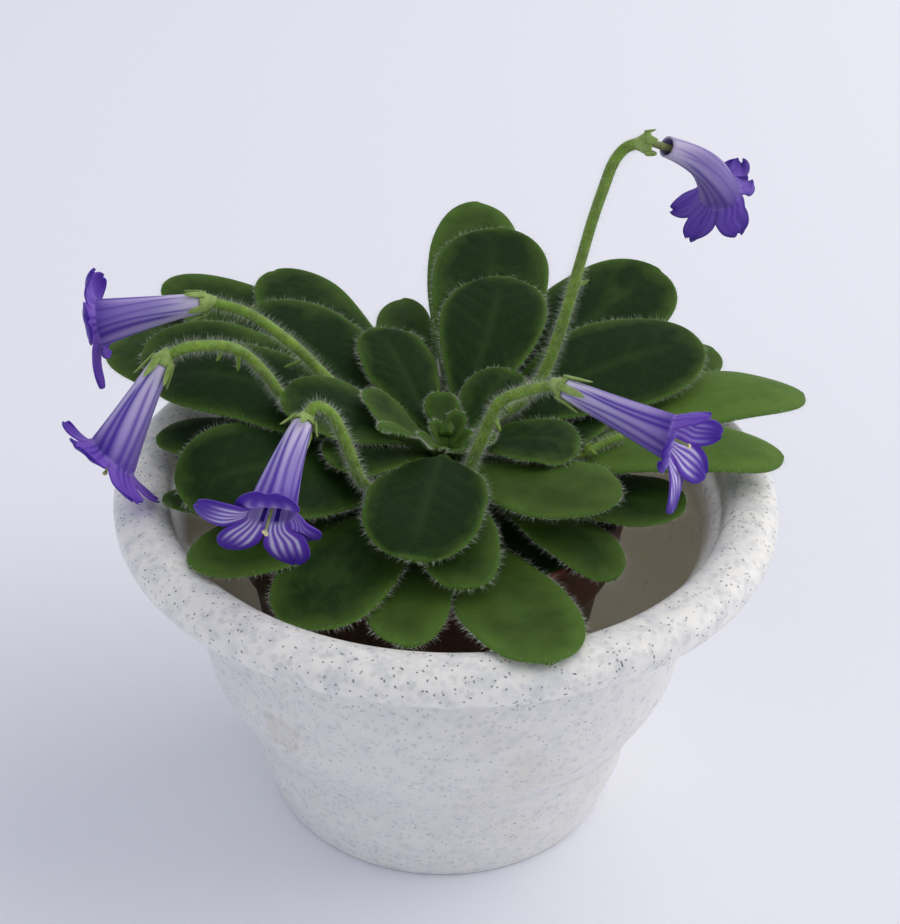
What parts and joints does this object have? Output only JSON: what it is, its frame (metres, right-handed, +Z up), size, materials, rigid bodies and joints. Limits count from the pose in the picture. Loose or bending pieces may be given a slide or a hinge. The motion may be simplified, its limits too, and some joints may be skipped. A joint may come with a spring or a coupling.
{
  "type": "potted flowering rosette plant",
  "caption": "Low rosette of thick velvety leaves with violet bell flowers on hairy stalks, in a thin nursery pot inside a flecked white outer pot with a rolled rim",
  "frame": {"origin": "centre of the outer pot's underside, on the surface it stands on", "axes": "+Z is up; -Y is the side the picture was taken from; +X is to the right in the picture"},
  "size_m": [0.1801, 0.1823, 0.1769],
  "materials": {
    "outer_pot": "glossy white plastic with dark flecks",
    "nursery_pot": "thin brown-red plastic, slightly translucent lip",
    "soil": "dark crumbly potting soil",
    "crown": "green plant stem",
    "leaf": "thick velvety hairy leaf",
    "stalk": "yellow-green stalk with white hairs",
    "corolla": "thin violet petal tissue",
    "pistil": "pale yellow-green plant tissue"
  },
  "bodies": {
    "root": {"outer_pot": "outer_pot", "nursery_pot": "nursery_pot", "soil": "soil", "crown": "crown", "leaf_01": "leaf", "leaf_02": "leaf", "leaf_03": "leaf", "leaf_04": "leaf", "leaf_05": "leaf", "leaf_06": "leaf", "leaf_07": "leaf", "leaf_08": "leaf", "leaf_09": "leaf", "leaf_10": "leaf", "leaf_11": "leaf", "leaf_12": "leaf", "leaf_13": "leaf", "leaf_14": "leaf", "leaf_15": "leaf", "leaf_16": "leaf", "leaf_17": "leaf", "leaf_18": "leaf", "leaf_19": "leaf", "leaf_20": "leaf", "leaf_21": "leaf", "leaf_22": "leaf", "leaf_23": "leaf", "leaf_24": "leaf", "leaf_25": "leaf", "leaf_26": "leaf", "leaf_27": "leaf", "leaf_28": "leaf", "leaf_29": "leaf", "leaf_30": "leaf", "leaf_31": "leaf", "leaf_32": "leaf", "leaf_33": "leaf", "leaf_34": "leaf", "leaf_35": "leaf", "leaf_36": "leaf", "leaf_37": "leaf", "leaf_38": "leaf", "leaf_39": "leaf", "flower_stalk_1": "stalk", "flower_stalk_2": "stalk", "flower_stalk_3": "stalk", "flower_stalk_4": "stalk", "flower_stalk_5": "stalk", "flower_stalk_6": "stalk", "corolla_1": "corolla", "corolla_2": "corolla", "corolla_3": "corolla", "corolla_4": "corolla", "corolla_5": "corolla", "pistil_1": "pistil", "pistil_2": "pistil", "pistil_3": "pistil", "pistil_4": "pistil", "pistil_5": "pistil"}
  },
  "joints": []
}
